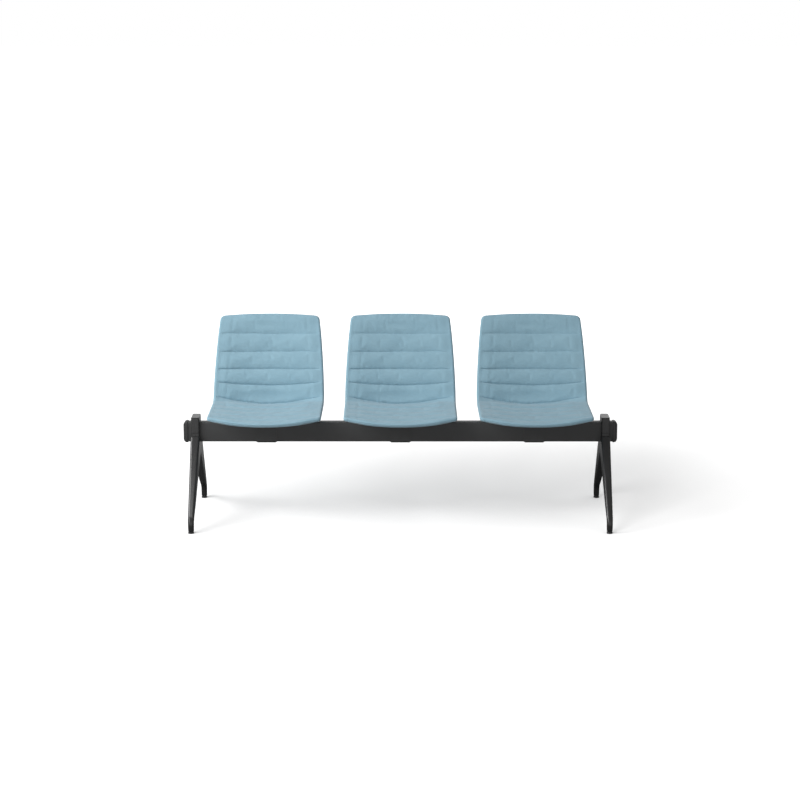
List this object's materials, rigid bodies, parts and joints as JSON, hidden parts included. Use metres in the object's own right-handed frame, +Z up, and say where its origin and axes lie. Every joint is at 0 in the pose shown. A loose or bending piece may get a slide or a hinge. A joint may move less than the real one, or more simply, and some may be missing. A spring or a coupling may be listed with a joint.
{
  "type": "beam seating",
  "caption": "Free-standing bench of upholstered one-piece shells clamped in a row on a rectangular steel beam, carried by an A-frame leg at each end with screw-levelled feet.",
  "frame": {"origin": "on the floor, under the middle of the overall box", "axes": "+X runs along the beam, to the right as seen from the front; -Y is the front that people sit down from; +Z is up"},
  "size_m": [1.7524, 0.5969, 0.7823],
  "materials": {
    "beam_coating": "satin black powder coat on a steel tube",
    "leg_coating": "cast aluminium with a fine black powder coat",
    "bracket_coating": "cast aluminium with a black powder coat",
    "strap_coating": "bent steel strip with a black powder coat",
    "cap_plastic": "moulded black plastic with a fine grain",
    "glide_plastic": "dark moulded nylon",
    "shell_plastic": "moulded structural plastic, unseen",
    "seat_fabric": "light blue wool-like cloth over foam, sewn in channels",
    "cover_fabric": "the same light blue cloth, stretched plain",
    "screw_steel": "dark zinc-plated steel"
  },
  "bodies": {
    "bench": {"beam": "beam_coating", "end_cap_left": "cap_plastic", "leg_casting_left": "leg_coating", "leg_clamp_left": "leg_coating", "leg_clamp_screws_left": "screw_steel", "end_cap_right": "cap_plastic", "leg_casting_right": "leg_coating", "leg_clamp_right": "leg_coating", "leg_clamp_screws_right": "screw_steel", "seat_1_pad": "seat_fabric", "seat_1_shell": "shell_plastic", "seat_1_rear_cover": "cover_fabric", "seat_1_bracket": "bracket_coating", "seat_1_strap": "strap_coating", "seat_1_strap_bolts": "screw_steel", "seat_1_shell_bolts": "screw_steel", "seat_2_pad": "seat_fabric", "seat_2_shell": "shell_plastic", "seat_2_rear_cover": "cover_fabric", "seat_2_bracket": "bracket_coating", "seat_2_strap": "strap_coating", "seat_2_strap_bolts": "screw_steel", "seat_2_shell_bolts": "screw_steel", "seat_3_pad": "seat_fabric", "seat_3_shell": "shell_plastic", "seat_3_rear_cover": "cover_fabric", "seat_3_bracket": "bracket_coating", "seat_3_strap": "strap_coating", "seat_3_strap_bolts": "screw_steel", "seat_3_shell_bolts": "screw_steel"},
    "glide_front_left": {"foot_glide_front_left": "glide_plastic"},
    "stem_front_left": {"foot_stem_front_left": "screw_steel"},
    "glide_rear_left": {"foot_glide_rear_left": "glide_plastic"},
    "stem_rear_left": {"foot_stem_rear_left": "screw_steel"},
    "glide_front_right": {"foot_glide_front_right": "glide_plastic"},
    "stem_front_right": {"foot_stem_front_right": "screw_steel"},
    "glide_rear_right": {"foot_glide_rear_right": "glide_plastic"},
    "stem_rear_right": {"foot_stem_rear_right": "screw_steel"}
  },
  "joints": [
    {"name": "level_front_left", "type": "slide", "parent": "bench", "child": "glide_front_left", "axis": [0, 0, -1], "range_m": [0, 0.012]},
    {"name": "turn_front_left", "type": "hinge", "parent": "glide_front_left", "child": "stem_front_left", "pos_m": [-0.826, -0.28312, 0.01], "axis": [0, 0, -1], "range_deg": [0, 2880]},
    {"name": "level_rear_left", "type": "slide", "parent": "bench", "child": "glide_rear_left", "axis": [0, 0, -1], "range_m": [0, 0.012]},
    {"name": "turn_rear_left", "type": "hinge", "parent": "glide_rear_left", "child": "stem_rear_left", "pos_m": [-0.826, 0.26688, 0.01], "axis": [0, 0, -1], "range_deg": [0, 2880]},
    {"name": "level_front_right", "type": "slide", "parent": "bench", "child": "glide_front_right", "axis": [0, 0, -1], "range_m": [0, 0.012]},
    {"name": "turn_front_right", "type": "hinge", "parent": "glide_front_right", "child": "stem_front_right", "pos_m": [0.826, -0.28312, 0.01], "axis": [0, 0, -1], "range_deg": [0, 2880]},
    {"name": "level_rear_right", "type": "slide", "parent": "bench", "child": "glide_rear_right", "axis": [0, 0, -1], "range_m": [0, 0.012]},
    {"name": "turn_rear_right", "type": "hinge", "parent": "glide_rear_right", "child": "stem_rear_right", "pos_m": [0.826, 0.26688, 0.01], "axis": [0, 0, -1], "range_deg": [0, 2880]}
  ],
  "couplings": [
    {"joint": "turn_front_left", "follows": "level_front_left", "rad_per_m": 4188.8},
    {"joint": "turn_rear_left", "follows": "level_rear_left", "rad_per_m": 4188.8},
    {"joint": "turn_front_right", "follows": "level_front_right", "rad_per_m": 4188.8},
    {"joint": "turn_rear_right", "follows": "level_rear_right", "rad_per_m": 4188.8}
  ]
}
